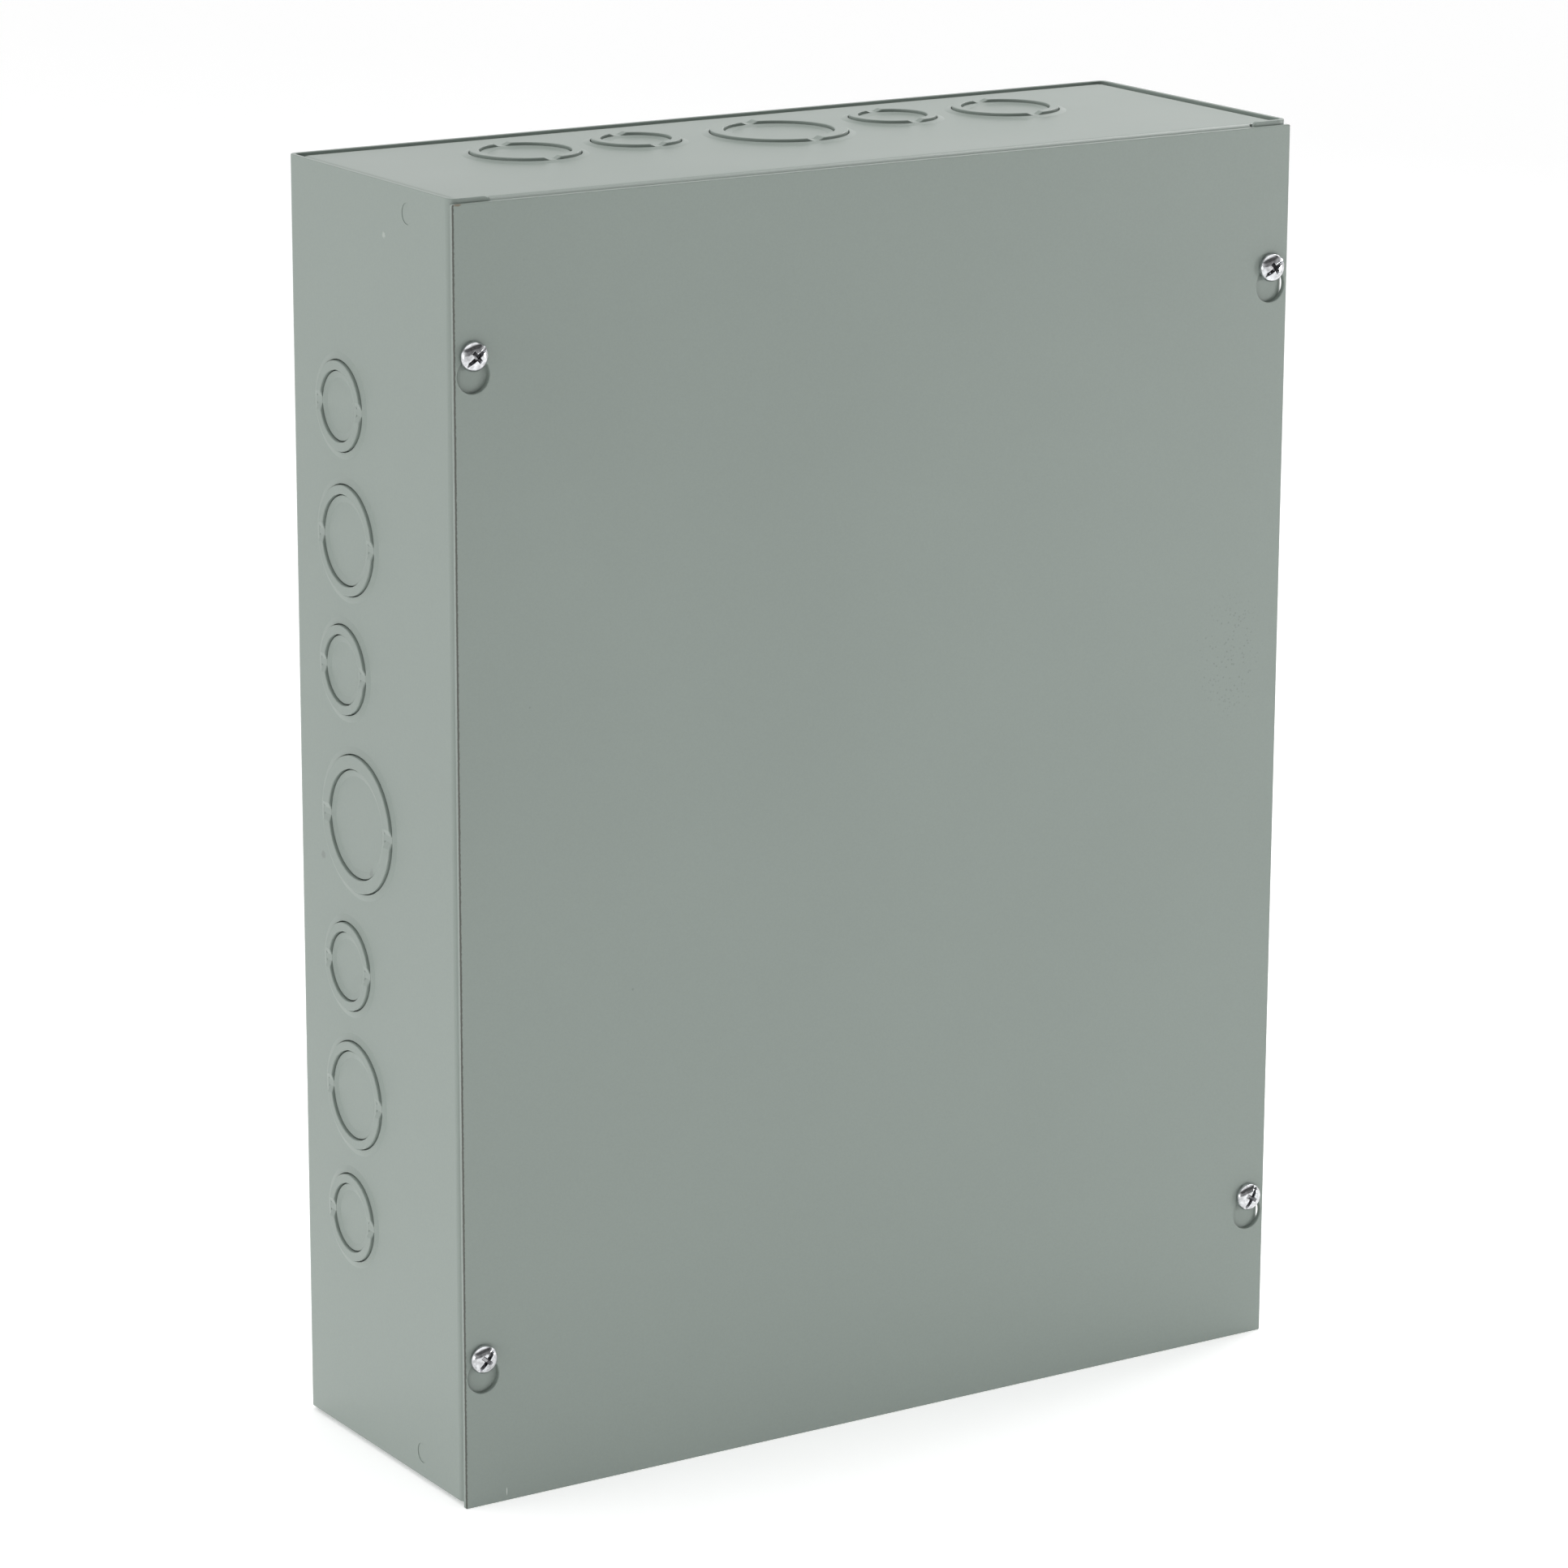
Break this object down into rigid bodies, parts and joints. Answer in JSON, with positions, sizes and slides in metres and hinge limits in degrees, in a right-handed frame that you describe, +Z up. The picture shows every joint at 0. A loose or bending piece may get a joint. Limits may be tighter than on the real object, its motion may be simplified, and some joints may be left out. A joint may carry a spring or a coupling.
{
  "type": "screw-cover pull box",
  "caption": "Wall-mounted sheet-steel electrical pull box with a flat cover hung by keyhole slots on pan-head screws, and concentric conduit knockouts in its walls.",
  "frame": {"origin": "centre of the four wall-mounting holes, on the outer face of the back", "axes": "+X to the right seen from the front, +Y out of the back towards the wall, +Z up"},
  "size_m": [0.3076, 0.1059, 0.4087],
  "materials": {
    "grey_powder_coat": "satin light green-grey powder coat with a fine orange peel",
    "zinc_plated_steel": "bright zinc plate"
  },
  "bodies": {
    "box": {"wrapper": "grey_powder_coat", "top_end_plate": "grey_powder_coat", "bottom_end_plate": "grey_powder_coat", "left_knockout_1_ring": "grey_powder_coat", "left_knockout_1_slug": "grey_powder_coat", "left_knockout_2_ring": "grey_powder_coat", "left_knockout_2_slug": "grey_powder_coat", "left_knockout_3_ring": "grey_powder_coat", "left_knockout_3_slug": "grey_powder_coat", "left_knockout_4_ring": "grey_powder_coat", "left_knockout_4_slug": "grey_powder_coat", "left_knockout_5_ring": "grey_powder_coat", "left_knockout_5_slug": "grey_powder_coat", "left_knockout_6_ring": "grey_powder_coat", "left_knockout_6_slug": "grey_powder_coat", "left_knockout_7_ring": "grey_powder_coat", "left_knockout_7_slug": "grey_powder_coat", "right_knockout_1_ring": "grey_powder_coat", "right_knockout_1_slug": "grey_powder_coat", "right_knockout_2_ring": "grey_powder_coat", "right_knockout_2_slug": "grey_powder_coat", "right_knockout_3_ring": "grey_powder_coat", "right_knockout_3_slug": "grey_powder_coat", "right_knockout_4_ring": "grey_powder_coat", "right_knockout_4_slug": "grey_powder_coat", "right_knockout_5_ring": "grey_powder_coat", "right_knockout_5_slug": "grey_powder_coat", "right_knockout_6_ring": "grey_powder_coat", "right_knockout_6_slug": "grey_powder_coat", "right_knockout_7_ring": "grey_powder_coat", "right_knockout_7_slug": "grey_powder_coat", "top_knockout_1_ring": "grey_powder_coat", "top_knockout_1_slug": "grey_powder_coat", "top_knockout_2_ring": "grey_powder_coat", "top_knockout_2_slug": "grey_powder_coat", "top_knockout_3_ring": "grey_powder_coat", "top_knockout_3_slug": "grey_powder_coat", "top_knockout_4_ring": "grey_powder_coat", "top_knockout_4_slug": "grey_powder_coat", "top_knockout_5_ring": "grey_powder_coat", "top_knockout_5_slug": "grey_powder_coat", "bottom_knockout_1_ring": "grey_powder_coat", "bottom_knockout_1_slug": "grey_powder_coat", "bottom_knockout_2_ring": "grey_powder_coat", "bottom_knockout_2_slug": "grey_powder_coat", "bottom_knockout_3_ring": "grey_powder_coat", "bottom_knockout_3_slug": "grey_powder_coat", "bottom_knockout_4_ring": "grey_powder_coat", "bottom_knockout_4_slug": "grey_powder_coat", "bottom_knockout_5_ring": "grey_powder_coat", "bottom_knockout_5_slug": "grey_powder_coat"},
    "cover_screws": {"cover_screw_top_left": "zinc_plated_steel", "cover_screw_top_right": "zinc_plated_steel", "cover_screw_bottom_left": "zinc_plated_steel", "cover_screw_bottom_right": "zinc_plated_steel"},
    "cover": {"cover": "grey_powder_coat"}
  },
  "joints": [
    {"name": "screws_out", "type": "slide", "parent": "box", "child": "cover_screws", "axis": [0, -1, 0], "range_m": [0, 0.15]},
    {"name": "cover_lift", "type": "slide", "parent": "cover_screws", "child": "cover", "axis": [0, 0, 1], "range_m": [0, 0.0058]}
  ]
}
